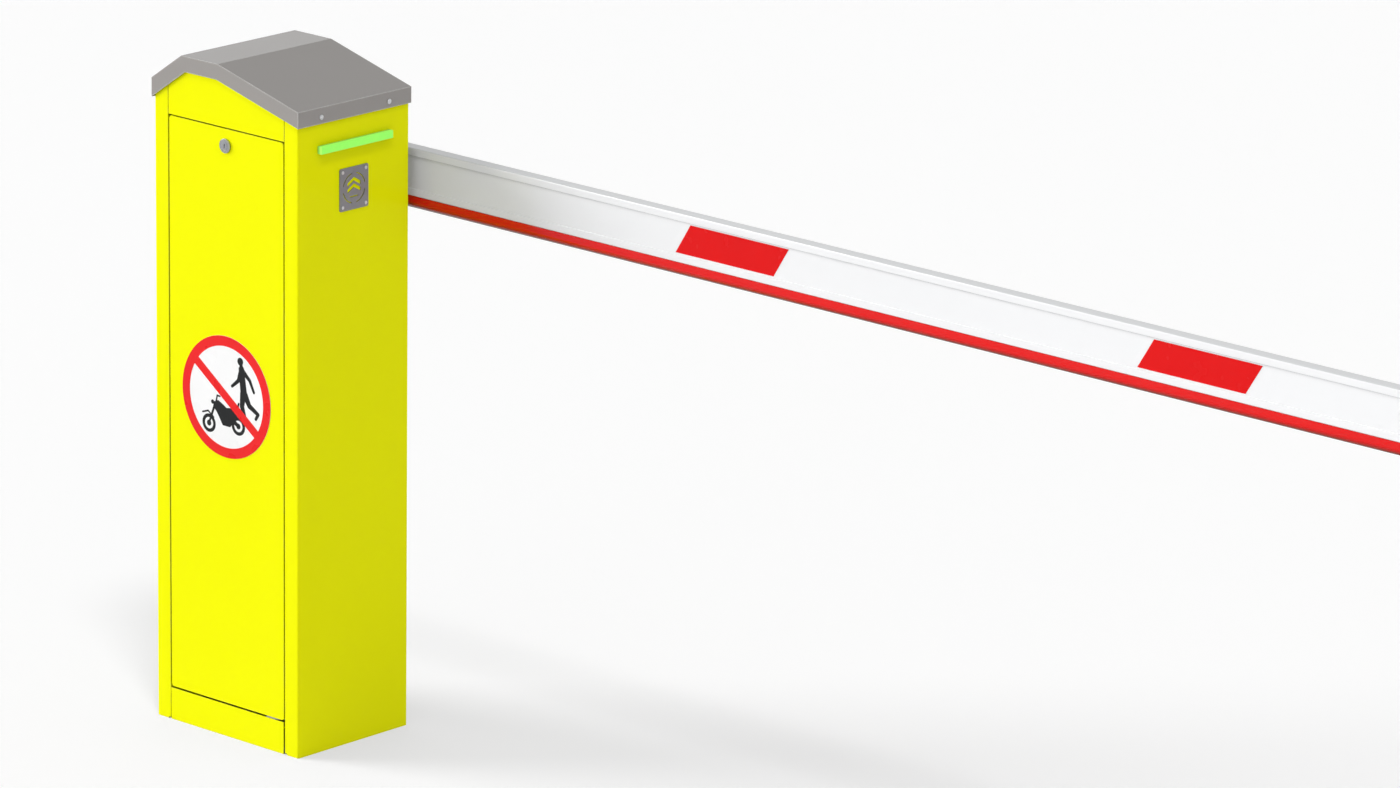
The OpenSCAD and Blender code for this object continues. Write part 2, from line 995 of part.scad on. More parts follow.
// Places of the four bolts through the boom
clamp_bolt_x = 72;
clamp_bolt_z = 15;
clamp_bolt_r = 4;
module clamp_holes(y0, y1) {
    for (x = [-1, 1], z = [-1, 1])
        bar_y(x * clamp_bolt_x, shaft_z + z * clamp_bolt_z, clamp_bolt_r + fit, y0, y1);
}

module boom_holder() {
    color("dimgray")
        difference() {
            along_y(flange_y1, boom_y0)
                translate([0, shaft_z])
                    round_rect(190, 96, 10);
            clamp_holes(flange_y1 - 1, boom_y0 + 1);
        }
}

module boom_clamp() {
    color("dimgray")
        difference() {
            along_y(boom_y1, boom_y1 + 6)
                translate([0, shaft_z])
                    round_rect(190, 60, 8);
            clamp_holes(boom_y1 - 1, boom_y1 + 7);
        }
}

module clamp_bolts() {
    color("gainsboro")
        for (x = [-1, 1], z = [-1, 1])
            union() {
                hex_y(x * clamp_bolt_x, shaft_z + z * clamp_bolt_z, 7.5, boom_y1 + 6, boom_y1 + 11.5);
                bar_y(x * clamp_bolt_x, shaft_z + z * clamp_bolt_z, clamp_bolt_r, flange_y1, boom_y1 + 8);
            }
}

// The boom's section in (y, z): a flat hollow profile with a tape recess in both faces
module boom_section() {
    translate([boom_yc, shaft_z])
        difference() {
            round_rect(boom_t, boom_h, 2);
            for (side = [-1, 1])
                translate([side * boom_t / 2, 0])
                    square([2 * recess_d, recess_h], center = true);
            for (side = [-1, 1])
                translate([0, side * boom_h / 4])
                    square([boom_t - 2 * recess_d - 2 * boom_wall, boom_h / 2 - 2 * boom_wall], center = true);
        }
}

module boom_profile() {
    color("white")
        difference() {
            along_x(tail_x, tip_x)
                boom_section();
            clamp_holes(boom_y0 - 1, boom_y1 + 1);
        }
}

// The strip under the boom: flat sides with a groove above the round lower edge
module bumper_section() {
    r = boom_t / 2;
    low = boom_z0 - bumper_h;
    groove_z = 7.6;
    groove_h = 1.2;
    groove_d = 1.5;
    difference() {
        intersection() {
            union() {
                translate([boom_y0, low + r])
                    square([boom_t, bumper_h - r]);
                translate([boom_yc, low + r])
                    circle(r);
            }
            translate([boom_y0 - 1, low - 1])
                square([boom_t + 2, bumper_h + 1]);
        }
        translate([boom_yc, low + r])
            circle(r - 4);
        for (side = [-1, 1])
            translate([boom_yc + side * boom_t / 2, low + groove_z])
                square([2 * groove_d, groove_h], center = true);
    }
}

module boom_bumper() {
    color("red")
        along_x(tail_x, tip_x)
            bumper_section();
}

module boom_end_caps() {
    color("dimgray")
        for (x = [tail_x - cap_t, tip_x])
            along_x(x, x + cap_t)
                union() {
                    translate([boom_yc, shaft_z])
                        round_rect(boom_t, boom_h, 2);
                    translate([boom_y0, boom_z0 - bumper_h + boom_t / 2])
                        square([boom_t, bumper_h - boom_t / 2 + 3]);
                    translate([boom_yc, boom_z0 - bumper_h + boom_t / 2])
                        circle(boom_t / 2);
                }
}

module boom_stickers() {
    color("crimson")
        for (i = [0 : 2], y = [boom_y0 + recess_d - sticker_t, boom_y1 - recess_d])
            along_y(y, y + sticker_t)
                translate([sticker_x + i * sticker_pitch, shaft_z - sticker_h / 2])
                    polygon([
                        [0, 0],
                        [sticker_w, 0],
                        [sticker_w + sticker_lean, sticker_h],
                        [sticker_lean, sticker_h]]);
}

// ---- Crank and connecting rod ----

module output_shaft() {
    color("silver")
        bar_y(0, gear_z, output_r, hub_y0 - 3, 80);
}

module crank_arm() {
    color("darkgray")
        difference() {
            union() {
                along_y(hub_y0, lever_y1)
                    translate([0, gear_z])
                        rotate(-45)
                            link(crank_r, 23, 16);
                bar_y(0, gear_z, 20, lever_y1 - 1, hub_y1);
                bar_y(arm_side, gear_z - arm_side, pin_r, pin_y0, lever_y1);
                bar_y(arm_side, gear_z - arm_side, pin_r + 3, pin_y0, end_y0 - 1);
            }
            bar_y(0, gear_z, output_r + fit, hub_y0 - 1, hub_y1 + 1);
        }
}

// Ends of the rod, bottom to top
rod_z = [gear_z - arm_side, shaft_z - arm_side];

module rod_ends() {
    color("silver")
        for (i = [0, 1])
            difference() {
                union() {
                    bar_y(arm_side, rod_z[i], 16, end_y0, end_y1);
                    translate([arm_side, spring_y, i == 0 ? rod_z[0] + 12 : rod_z[1] - 62])
                        cylinder(h = 50, r = 6);
                }
                bar_y(arm_side, rod_z[i], pin_r + (i == 0 ? run : open_fit), end_y0 - 1, end_y1 + 1);
            }
}

module rod_tube() {
    color("steelblue")
        translate([arm_side, spring_y, rod_z[0] + 28])
            difference() {
                cylinder(h = rod_z[1] - rod_z[0] - 56, r = 9);
                translate([0, 0, -1])
                    cylinder(h = rod_z[1] - rod_z[0], r = 6 + fit);
            }
}

module rod_lock_nuts() {
    color("gainsboro")
        for (z = [rod_z[0] + 20, rod_z[1] - 28])
            translate([arm_side, spring_y, z])
                difference() {
                    cylinder(h = 8, r = 10, $fn = 6);
                    translate([0, 0, -1])
                        cylinder(h = 10, r = 6 + fit);
                }
}

// ---- Door and lock ----

module door_panel() {
    door_h = door_z1 - door_z0;
    door_zc = (door_z0 + door_z1) / 2;
    color([0.98, 0.98, 0.1])
        difference() {
            union() {
                along_y(front_y, front_y + sheet)
                    translate([0, door_zc])
                        round_rect(2 * door_x, door_h, door_corner);
                along_y(front_y, front_y + door_depth)
                    translate([0, door_zc])
                        difference() {
                            round_rect(2 * door_x, door_h, door_corner);
                            round_rect(2 * door_x - 2 * sheet, door_h - 2 * sheet, door_corner - sheet);
                        }
            }
            bar_x(pivot_y, pivot_z, pivot_r + run, -door_x - 1, door_x + 1);
            bar_y(0, lock_z, lock_body_r + fit, front_y - 1, front_y + 5);
        }
}

// The pins stand in the lips of the side panels and carry the door's folded edges
module door_hinge_pins() {
    head_w = 4;
    color("silver")
        for (side = [0, 1])
            mirror([side, 0, 0])
                union() {
                    bar_x(pivot_y, pivot_z, pivot_r, door_x - 8, seam_x + sheet + 1);
                    bar_x(pivot_y, pivot_z, pivot_r + 2, seam_x + sheet, seam_x + sheet + head_w);
                }
}

module door_sign() {
    color("white")
        bar_y(0, sign_z, sign_dia / 2, front_y - 0.4, front_y);
}

module lock_housing() {
    color("lightgray")
        difference() {
            union() {
                bar_y(0, lock_z, lock_flange_r, front_y - lock_face, front_y);
                bar_y(0, lock_z, lock_body_r, front_y - 1, cam_y0 - 0.5);
                hex_y(0, lock_z, 13, front_y + sheet, front_y + sheet + 5);
            }
            bar_y(0, lock_z, plug_r + run, front_y - lock_face - 1, cam_y0 + 1);
        }
}

module lock_plug() {
    color("silver")
        difference() {
            bar_y(0, lock_z, plug_r, front_y - lock_face - 0.4, cam_y0 + cam_t + 2);
            box([-0.8, front_y - lock_face - 1, lock_z - 3.5], [0.8, front_y + 3, lock_z + 3.5]);
        }
}

// The cam points sideways while the door is unlocked, and up behind the upper panel's lip when locked
module lock_cam() {
    color("silver")
        along_y(cam_y0, cam_y0 + cam_t)
            translate([0, lock_z])
                difference() {
                    rotate(180)
                        link(cam_l, 10, 6.5);
                    circle(plug_r + fit);
                }
}

base_plate();
left_side_panel();
right_side_panel();
rear_panel();
upper_panel();
kick_plate();
roof_cap();
roof_screws();
light_bar();
light_board();
badge_plate();
badge_rivets();
uprights();
cross_brace();
equipment_panel();
mechanism_plate();
frame_bolts();
bearing_housing();
shaft_bearings();
shaft_seal();
gearbox();
motor();
motor_fan_cover();
stop_brackets();
stop_buffers();
limit_sensors();
m12_nuts();
spring_bracket();
tension_rod();
balance_spring();
controller_box();
controller_lid();
cable_glands();
din_rail();
terminal_blocks();
circuit_breaker();
door_hinge_pins();
main_shaft();
shaft_lever();
lever_pins();
sensor_flag();
boom_holder();
boom_clamp();
clamp_bolts();
boom_profile();
boom_bumper();
boom_end_caps();
boom_stickers();
output_shaft();
crank_arm();
rod_tube();
rod_ends();
rod_lock_nuts();
spring_yoke();
door_panel();
door_sign();
lock_housing();
lock_plug();
lock_cam();
breaker_toggle();
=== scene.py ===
"""Looks of the parking barrier gate: camera, light, floor, materials and the pieces that CAD leaves plain.

Lengths are in metres and in the row frame: -Y is the door face, +X is the way the boom points, +Z is up.
"""
import json
import math

import bmesh
import bpy
from mathutils import Matrix, Vector


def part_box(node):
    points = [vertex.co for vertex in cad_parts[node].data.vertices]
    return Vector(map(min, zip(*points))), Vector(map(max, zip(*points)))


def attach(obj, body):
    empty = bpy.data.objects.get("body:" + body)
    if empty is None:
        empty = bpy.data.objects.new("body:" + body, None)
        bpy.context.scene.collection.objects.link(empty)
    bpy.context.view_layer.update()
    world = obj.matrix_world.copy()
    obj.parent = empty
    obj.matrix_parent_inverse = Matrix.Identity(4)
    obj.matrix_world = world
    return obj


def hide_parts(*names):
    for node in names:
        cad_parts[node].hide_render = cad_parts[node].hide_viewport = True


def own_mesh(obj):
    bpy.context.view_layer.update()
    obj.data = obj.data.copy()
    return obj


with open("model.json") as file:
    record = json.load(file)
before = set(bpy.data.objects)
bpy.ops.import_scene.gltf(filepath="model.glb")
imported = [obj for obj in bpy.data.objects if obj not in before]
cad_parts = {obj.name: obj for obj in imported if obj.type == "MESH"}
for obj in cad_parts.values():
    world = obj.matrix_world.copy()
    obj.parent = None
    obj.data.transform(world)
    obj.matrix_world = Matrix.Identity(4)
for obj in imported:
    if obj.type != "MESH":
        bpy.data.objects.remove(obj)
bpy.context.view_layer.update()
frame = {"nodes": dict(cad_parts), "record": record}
NODES = frame["nodes"]
SCENE = bpy.context.scene
MM = 0.001

# ---- Camera and light ----

# The camera stands to the front right and looks down a little, with a long lens
CAMERA_PLACE = Vector((8.408, -8.233, 3.861))
CAMERA_YAW = math.radians(-42.48)
CAMERA_PITCH = math.radians(-15.81)
CAMERA_ROLL = math.radians(0.789)
CAMERA_LENS = 205.0
SENSOR_WIDTH = 36.0
FAR_CLIP = 200.0


def make_camera():
    forward = Vector((
        math.cos(CAMERA_PITCH) * math.sin(CAMERA_YAW),
        math.cos(CAMERA_PITCH) * math.cos(CAMERA_YAW),
        math.sin(CAMERA_PITCH)))
    right = forward.cross(Vector((0, 0, 1))).normalized()
    up = right.cross(forward)
    turned_right = math.cos(CAMERA_ROLL) * right + math.sin(CAMERA_ROLL) * up
    turned_up = math.cos(CAMERA_ROLL) * up - math.sin(CAMERA_ROLL) * right
    data = bpy.data.cameras.new("camera")
    data.lens = CAMERA_LENS
    data.sensor_width = SENSOR_WIDTH
    data.clip_end = FAR_CLIP
    camera = bpy.data.objects.new("camera", data)
    axes = Matrix((turned_right, turned_up, -forward)).transposed()
    camera.matrix_world = Matrix.Translation(CAMERA_PLACE) @ axes.to_4x4()
    SCENE.collection.objects.link(camera)
    SCENE.camera = camera


def make_sun(name, towards, strength, softness):
    """A soft light that comes from the direction towards."""
    data = bpy.data.lights.new(name, "SUN")
    data.energy = strength
    data.angle = math.radians(softness)
    light = bpy.data.objects.new(name, data)
    light.rotation_euler = Vector(towards).to_track_quat("Z", "Y").to_euler()
    SCENE.collection.objects.link(light)


def make_world(horizon, zenith):
    """A white studio whose light goes from horizon, low down, to zenith, overhead."""
    world = bpy.data.worlds.new("studio")
    world.use_nodes = True
    nodes, links = world.node_tree.nodes, world.node_tree.links
    split = nodes.new("ShaderNodeSeparateXYZ")
    links.new(nodes.new("ShaderNodeTexCoord").outputs["Generated"], split.inputs[0])
    height = nodes.new("ShaderNodeMapRange")
    ramp = {"From Min": 0.25, "From Max": 0.60, "To Min": horizon, "To Max": zenith}
    for key, value in ramp.items():
        height.inputs[key].default_value = value
    links.new(split.outputs["Z"], height.inputs["Value"])
    background = nodes["Background"]
    background.inputs["Color"].default_value = (1, 1, 1, 1)
    links.new(height.outputs["Result"], background.inputs["Strength"])
    SCENE.world = world


make_camera()
SCENE.view_settings.view_transform = "Standard"
SCENE.view_settings.look = "None"
make_world(0.64, 0.42)
make_sun("key", (-0.83, -0.48, 0.32), 2.27, 34)
make_sun("side", (0.40, -0.30, 0.86), 0.72, 10)

# ---- Materials ----

COAT_ROUGHNESS = 0.08
BUMP_DEPTH = 0.0004
# How far the painted shade in narrow gaps looks around, and how open a spot is where that painted shade is
# full and where it ends
SEAM_REACH = 0.008
SEAM_OPENNESS = (0.10, 0.42)
# The same two for the painted shadow and highlight in the inner corners of the boom's recess
CORNER_REACH = 0.005
CORNER_OPENNESS = (0.45, 0.95)
# How many patches of edge wear and painted edge highlight fit in a metre
WEAR_PATCHES = 60.0
# On a thin film the wear reaches in only a hair from the edge
FILM_WEAR = {"wear_radius": 0.00008}


class Shader:
    """A Principled material whose colour, roughness and bump come from nodes."""

    def __init__(self, name, color, rough, metallic=0.0, coat=0.0, specular=0.5):
        self.material = bpy.data.materials.new(name)
        self.material.use_nodes = True
        self.nodes = self.material.node_tree.nodes
        self.links = self.material.node_tree.links
        self.shader = self.nodes["Principled BSDF"]
        self.color = (*color, 1.0)
        self.rough = rough
        self.shader.inputs["Metallic"].default_value = metallic
        self.shader.inputs["Coat Weight"].default_value = coat
        self.shader.inputs["Coat Roughness"].default_value = COAT_ROUGHNESS
        self.shader.inputs["Specular IOR Level"].default_value = specular
        coordinates = self.nodes.new("ShaderNodeTexCoord").outputs
        self.place = coordinates["Object"]
        self.facing = coordinates["Normal"]

    def node(self, kind, **settings):
        made = self.nodes.new(kind)
        for key, value in settings.items():
            setattr(made, key, value)
        return made

    def noise(self, scale, detail=2.0, stretch=(1, 1, 1)):
        """Noise of about 1 / scale metres, drawn out where stretch is small."""
        mapping = self.node("ShaderNodeMapping")
        mapping.inputs["Scale"].default_value = stretch
        self.links.new(self.place, mapping.inputs["Vector"])
        texture = self.node("ShaderNodeTexNoise")
        texture.inputs["Scale"].default_value = scale
        texture.inputs["Detail"].default_value = detail
        self.links.new(mapping.outputs["Vector"], texture.inputs["Vector"])
        return texture.outputs["Fac"]

    def split(self, vector):
        """The X, Y and Z outputs of a vector."""
        parts = self.node("ShaderNodeSeparateXYZ")
        self.links.new(vector, parts.inputs[0])
        return parts.outputs

    def ranged(self, value, low, high, start=0.3, stop=0.7):
        """value, which runs from start to stop, turned to run from low to high."""
        remap = self.node("ShaderNodeMapRange")
        for key, number in (("From Min", start), ("From Max", stop), ("To Min", low), ("To Max", high)):
            remap.inputs[key].default_value = number
        self.links.new(value, remap.inputs["Value"])
        return remap.outputs["Result"]

    def mixed(self, factor, first, second):
        mix = self.node("ShaderNodeMix", data_type="RGBA")
        for socket, value in ((mix.inputs[6], first), (mix.inputs[7], second)):
            if isinstance(value, tuple):
                socket.default_value = value
            else:
                self.links.new(value, socket)
        self.links.new(factor, mix.inputs[0])
        return mix.outputs[2]

    def edges(self, radius, whole, turn):
        """1 near edges where the surface turns by more than turn degrees, and 0 on flat faces.

        Noise breaks it up, down to the share whole."""
        bevel = self.node("ShaderNodeBevel", samples=4)
        bevel.inputs["Radius"].default_value = radius
        geometry = self.node("ShaderNodeNewGeometry")
        dot = self.node("ShaderNodeVectorMath", operation="DOT_PRODUCT")
        self.links.new(bevel.outputs["Normal"], dot.inputs[0])
        self.links.new(geometry.outputs["Normal"], dot.inputs[1])
        full, none = math.cos(math.radians(turn)), math.cos(math.radians(turn / 3))
        edge = self.ranged(dot.outputs["Value"], 1.0, 0.0, full, none)
        patches = self.ranged(self.noise(WEAR_PATCHES, 3.0), whole, 1.0, 0.42, 0.62)
        both = self.node("ShaderNodeMath", operation="MULTIPLY")
        self.links.new(edge, both.inputs[0])
        self.links.new(patches, both.inputs[1])
        return both.outputs["Value"]

    def finish(self, variation, tone_scale, rough_change, bump, bump_scale, stretch=(1, 1, 1),
               wear=None, wear_radius=0.0012, wear_share=0.5, wear_whole=0.0, wear_turn=37.0,
               seams=None, bounce=None, tint=None):
        """Links colour, roughness and bump, and returns the material.

        The edge colour paints rubbed wear, and on the yellow and roof coats a painted highlight along the
        edges; the gap colour is a painted shade in narrow gaps; bounce is the light passed on to other
        pieces.
        tint is a pair: where it applies, and its colour as a tuple or a socket."""
        dark = tuple(max(0.0, c * (1 - variation)) for c in self.color[:3]) + (1.0,)
        light = tuple(min(1.0, c * (1 + variation)) for c in self.color[:3]) + (1.0,)
        color = self.mixed(self.ranged(self.noise(tone_scale, 3.0), 0.0, 1.0), dark, light)
        if tint:
            where, shade = tint
            color = self.mixed(where, color, (*shade, 1.0) if isinstance(shade, tuple) else shade)
        # Edge colour: rubbed wear, and on the yellow and roof coats a painted highlight along the edges
        if wear:
            worn = self.ranged(self.edges(wear_radius, wear_whole, wear_turn), 0.0, wear_share, 0.0, 1.0)
            color = self.mixed(worn, color, (*wear, 1.0))
        # Painted shade: the colour turns to the gap colour where ambient occlusion finds a narrow gap or
        # groove
        if seams:
            shade = self.node("ShaderNodeAmbientOcclusion", samples=6)
            shade.inputs["Distance"].default_value = SEAM_REACH
            narrow = self.ranged(shade.outputs["AO"], 1.0, 0.0, *SEAM_OPENNESS)
            color = self.mixed(narrow, color, (*seams, 1.0))
        if bounce:
            passed_on = self.node("ShaderNodeLightPath").outputs["Is Diffuse Ray"]
            color = self.mixed(passed_on, color, (*bounce, 1.0))
        self.links.new(color, self.shader.inputs["Base Color"])
        rough = self.ranged(
            self.noise(tone_scale * 6), self.rough - rough_change, self.rough + rough_change, 0.2, 0.8)
        self.links.new(rough, self.shader.inputs["Roughness"])
        height = self.node("ShaderNodeBump")
        height.inputs["Strength"].default_value = bump
        height.inputs["Distance"].default_value = BUMP_DEPTH
        self.links.new(self.noise(bump_scale, 2.0, stretch), height.inputs["Height"])
        self.links.new(height.outputs["Normal"], self.shader.inputs["Normal"])
        return self.material


def painted(name, color, rough=0.35, specular=0.3, coat=0.0, wear=(0.35, 0.35, 0.34), wear_share=0.25,
            **details):
    """Powder coat: slight orange peel, slow tone changes and tinted edges, which are rubbed wear and, where a
    caller asks for it, a painted edge highlight.
    """
    shader = Shader(name, color, rough, coat=coat, specular=specular)
    return shader.finish(
        variation=0.015, tone_scale=2.5, rough_change=0.015, bump=0.05, bump_scale=420.0,
        wear=wear, wear_share=wear_share, **details)


def metal(name, color, rough=0.32, stretch=(1, 1, 1), variation=0.08, bump=0.12):
    """Bare or plated metal with fine tool marks."""
    shader = Shader(name, color, rough, metallic=1.0)
    wear = tuple(min(1.0, c * 1.35) for c in color)
    return shader.finish(
        variation, tone_scale=9.0, rough_change=0.09, bump=bump, bump_scale=700.0, stretch=stretch,
        wear=wear, wear_share=0.6)


def plastic(name, color, rough=0.5, bump=0.2, scale=900.0, specular=0.4, **details):
    """Moulded plastic or rubber with a fine grain."""
    shader = Shader(name, color, rough, specular=specular)
    wear = tuple(min(1.0, c * 1.3 + 0.01) for c in color)
    return shader.finish(
        variation=0.04, tone_scale=6.0, rough_change=0.06, bump=bump, bump_scale=scale,
        wear=wear, wear_share=0.3, **details)


def casting(name, color):
    """Painted sand casting."""
    shader = Shader(name, color, 0.55, specular=0.35)
    return shader.finish(
        variation=0.10, tone_scale=14.0, rough_change=0.10, bump=0.55, bump_scale=260.0,
        wear=(0.42, 0.42, 0.42), wear_share=0.4)


def lit_acrylic(name, color, glow, outer_x, end_y):
    """Acrylic lit from behind, drawn as a painted glow: emission that only the camera sees, bright in its
    outer half, without lighting what is around it.

    Its front end gets a painted highlight."""
    shader = Shader(name, color, 0.22, specular=0.3)
    place = shader.split(shader.place)
    lit_depth, lit_blur = 0.0042, 0.0008
    end_skin, end_blur = 0.0002, 0.0006
    lit = shader.ranged(place["X"], 0.45, 1.0, outer_x - lit_depth - lit_blur, outer_x - lit_depth)
    seen = shader.ranged(shader.node("ShaderNodeLightPath").outputs["Is Camera Ray"], 0.0, 0.95, 0.0, 1.0)
    strength = shader.node("ShaderNodeMath", operation="MULTIPLY")
    shader.links.new(lit, strength.inputs[0])
    shader.links.new(seen, strength.inputs[1])
    # Painted highlight on the front end face
    at_end = shader.ranged(place["Y"], 1.0, 0.0, end_y + end_skin, end_y + end_skin + end_blur)
    tint = shader.mixed(at_end, (*glow, 1.0), (0.33, 0.80, 0.17, 1.0))
    shader.links.new(tint, shader.shader.inputs["Emission Color"])
    shader.links.new(strength.outputs["Value"], shader.shader.inputs["Emission Strength"])
    return shader.finish(variation=0.05, tone_scale=30.0, rough_change=0.05, bump=0.05, bump_scale=300.0)


def boom_coat(name, color):
    """White coated extrusion with faint die lines along the boom.

    Its top face gets a painted shade, the upper inner corners of its recess a painted shadow, and the lower
    ones a painted highlight."""
    shader = Shader(name, color, 0.30, specular=0.5, coat=0.15)
    low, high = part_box("boom_profile")
    shade = shader.node("ShaderNodeAmbientOcclusion", samples=8)
    shade.inputs["Distance"].default_value = CORNER_REACH
    corner = shader.ranged(shade.outputs["AO"], 1.0, 0.0, *CORNER_OPENNESS)
    upper = shader.ranged(shader.split(shader.place)["Z"], 0.0, 1.0, (low.z + high.z) / 2, high.z)
    # Painted shadow at the recess's upper inner corners and painted highlight at its lower ones
    groove = shader.mixed(upper, (0.97, 0.97, 0.97, 1.0), (0.10, 0.10, 0.12, 1.0))
    top = shader.ranged(shader.split(shader.facing)["Z"], 0.0, 1.0, 0.6, 0.9)
    # Painted shade on the faces that look up
    dust = shader.mixed(top, groove, (0.76, 0.77, 0.78, 1.0))
    where = shader.node("ShaderNodeMath", operation="MAXIMUM")
    shader.links.new(corner, where.inputs[0])
    shader.links.new(top, where.inputs[1])
    return shader.finish(
        variation=0.01, tone_scale=1.2, rough_change=0.02, bump=0.06, bump_scale=900.0, stretch=(0.004, 1, 1),
        wear=(0.72, 0.73, 0.75), wear_share=0.3, tint=(where.outputs["Value"], dust))


def bumper_coat(name, color, under):
    """Glossy red rubber with painted shade on its underside and in its grooves."""
    shader = Shader(name, color, 0.16, specular=0.35)
    # Painted shade: darker red on the faces that look down
    grime = shader.ranged(shader.split(shader.facing)["Z"], 1.0, 0.0, -0.65, -0.15)
    return shader.finish(
        variation=0.04, tone_scale=6.0, rough_change=0.03, bump=0.02, bump_scale=300.0,
        seams=under, tint=(grime, under))


YELLOW = (0.96, 0.97, 0.002)
MATERIALS = {
    # Yellow coat: its edge colour is partly rubbed wear and partly a painted highlight along the rounded
    # folds, and its gap colour is painted shade
    "yellow_paint": painted(
        "yellow_paint", YELLOW, 0.16, 0.04, wear=(0.85, 0.80, 0.16), wear_share=0.5, wear_radius=0.0025,
        seams=(0.09, 0.085, 0.0), bounce=(0.34, 0.34, 0.29)),
    # Roof coat: its light edge colour is a painted highlight along the roof's edges and folds
    "roof_paint": painted(
        "roof_paint", (0.310, 0.290, 0.274), 0.32, 0.60, coat=1.0, wear=(0.80, 0.79, 0.78), wear_share=0.7,
        wear_radius=0.0022, wear_whole=0.7, wear_turn=21.0),
    "frame_paint": painted(
        "frame_paint", (0.11, 0.12, 0.13), 0.45, 0.4, wear=(0.40, 0.40, 0.40), wear_share=0.5),
    "zinc": metal("zinc", (0.84, 0.85, 0.87), 0.30),
    "light_green": lit_acrylic(
        "light_green", (0.24, 0.57, 0.002), (0.16, 0.62, 0.13),
        outer_x=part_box("light_bar")[1].x, end_y=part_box("light_bar")[0].y),
    "circuit_green": plastic("circuit_green", (0.02, 0.17, 0.06), 0.35),
    "badge_steel": metal("badge_steel", (0.36, 0.37, 0.39), 0.42, (1, 1, 0.03)),
    "cast_grey": casting("cast_grey", (0.19, 0.20, 0.21)),
    "bearing_steel": metal("bearing_steel", (0.62, 0.62, 0.63), 0.16),
    "black_rubber": plastic("black_rubber", (0.02, 0.02, 0.02), 0.65, 0.35, 500.0),
    "motor_paint": painted(
        "motor_paint", (0.06, 0.14, 0.27), 0.42, 0.4, wear=(0.35, 0.37, 0.40), wear_share=0.4),
    "dark_plastic": plastic("dark_plastic", (0.035, 0.035, 0.038), 0.5),
    "sensor_brass": metal("sensor_brass", (0.60, 0.50, 0.30), 0.3),
    "machined_steel": metal("machined_steel", (0.44, 0.44, 0.45), 0.34, (1, 0.1, 1)),
    "spring_paint": painted(
        "spring_paint", (0.36, 0.03, 0.02), 0.38, 0.45, wear=(0.30, 0.25, 0.24), wear_share=0.3),
    "box_plastic": plastic("box_plastic", (0.55, 0.56, 0.55), 0.45),
    "terminal_plastic": plastic("terminal_plastic", (0.46, 0.43, 0.34), 0.5),
    "boom_white": boom_coat("boom_white", (0.935, 0.94, 0.95)),
    "bumper_red": bumper_coat("bumper_red", (0.84, 0.006, 0.006), (0.30, 0.02, 0.002)),
    "tape_red": plastic("tape_red", (0.80, 0.005, 0.006), 0.25, 0.05, 700.0, 0.15, **FILM_WEAR),
    "sign_print": plastic("sign_print", (0.96, 0.96, 0.96), 0.30, 0.03, 300.0, 0.2, **FILM_WEAR),
    "lock_metal": metal("lock_metal", (0.46, 0.47, 0.49), 0.30),
}
SIGN_RED = plastic("sign_red", (0.88, 0.014, 0.016), 0.30, 0.03, 300.0, 0.2, **FILM_WEAR)
SIGN_BLACK = plastic("sign_black", (0.018, 0.019, 0.020), 0.32, 0.03, 300.0, 0.15, **FILM_WEAR)


def paint_cad_nodes():
    slots = {entry["node"]: entry["material_slot"] for entry in frame["record"]["subparts"]}
    for name, node in NODES.items():
        node.data.materials.clear()
        node.data.materials.append(MATERIALS[slots[name]])


# ---- Rounded edges on the CAD nodes ----

# Edge radius of each kind of piece, in millimetres
EDGE_RADII = {
    "left_side_panel": 0.4, "right_side_panel": 0.4, "upper_panel": 0.4, "kick_plate": 0.4,
    "rear_panel": 0.4, "roof_cap": 0.3, "door_panel": 0.6, "badge_plate": 0.25, "light_bar": 0.6,
    "boom_profile": 0.25, "boom_bumper": 0.5, "boom_end_caps": 0.8, "boom_holder": 0.8,
    "boom_clamp": 0.8, "base_plate": 0.6, "uprights": 0.8, "cross_brace": 0.5,
    "mechanism_plate": 0.6, "bearing_housing": 1.0, "gearbox": 1.2, "motor": 0.6,
    "shaft_lever": 0.8, "crank_arm": 0.8, "controller_box": 1.0, "controller_lid": 1.5,
    "circuit_breaker": 0.6, "terminal_blocks": 0.4, "stop_brackets": 0.5, "stop_buffers": 1.0,
    "spring_bracket": 0.6, "spring_yoke": 0.6, "tension_rod": 0.5, "main_shaft": 0.6,
    "lock_housing": 0.5, "lock_cam": 0.4, "breaker_toggle": 0.6, "rod_ends": 0.6,
    "rod_tube": 0.4, "roof_screws": 0.6, "badge_rivets": 0.4, "frame_bolts": 0.4,
    "clamp_bolts": 0.4, "m12_nuts": 0.4, "rod_lock_nuts": 0.4, "cable_glands": 0.5,
    "motor_fan_cover": 0.6, "output_shaft": 0.6, "lever_pins": 0.6, "sensor_flag": 0.3}


def round_edges(name, radius):
    """Joins the mesh's split points, clears lines inside flat faces and rounds the sharp edges."""
    node = NODES[name]
    weld = node.modifiers.new("weld", "WELD")
    weld.merge_threshold = 0.01 * MM
    flat = node.modifiers.new("flat", "DECIMATE")
    flat.decimate_type = "DISSOLVE"
    flat.angle_limit = math.radians(0.5)
    bevel = node.modifiers.new("round", "BEVEL")
    bevel.width = radius * MM
    bevel.segments = 3
    bevel.limit_method = "ANGLE"
    bevel.angle_limit = math.radians(38)
    bevel.harden_normals = True
    bevel.use_clamp_overlap = True


# ---- Sign on the door ----

SIGN_LOW, SIGN_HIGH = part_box("door_sign")
SIGN_X = (SIGN_LOW.x + SIGN_HIGH.x) / 2
SIGN_Z = (SIGN_LOW.z + SIGN_HIGH.z) / 2
SIGN_R = (SIGN_HIGH.z - SIGN_LOW.z) / 2
RING_INNER = 0.833 * SIGN_R
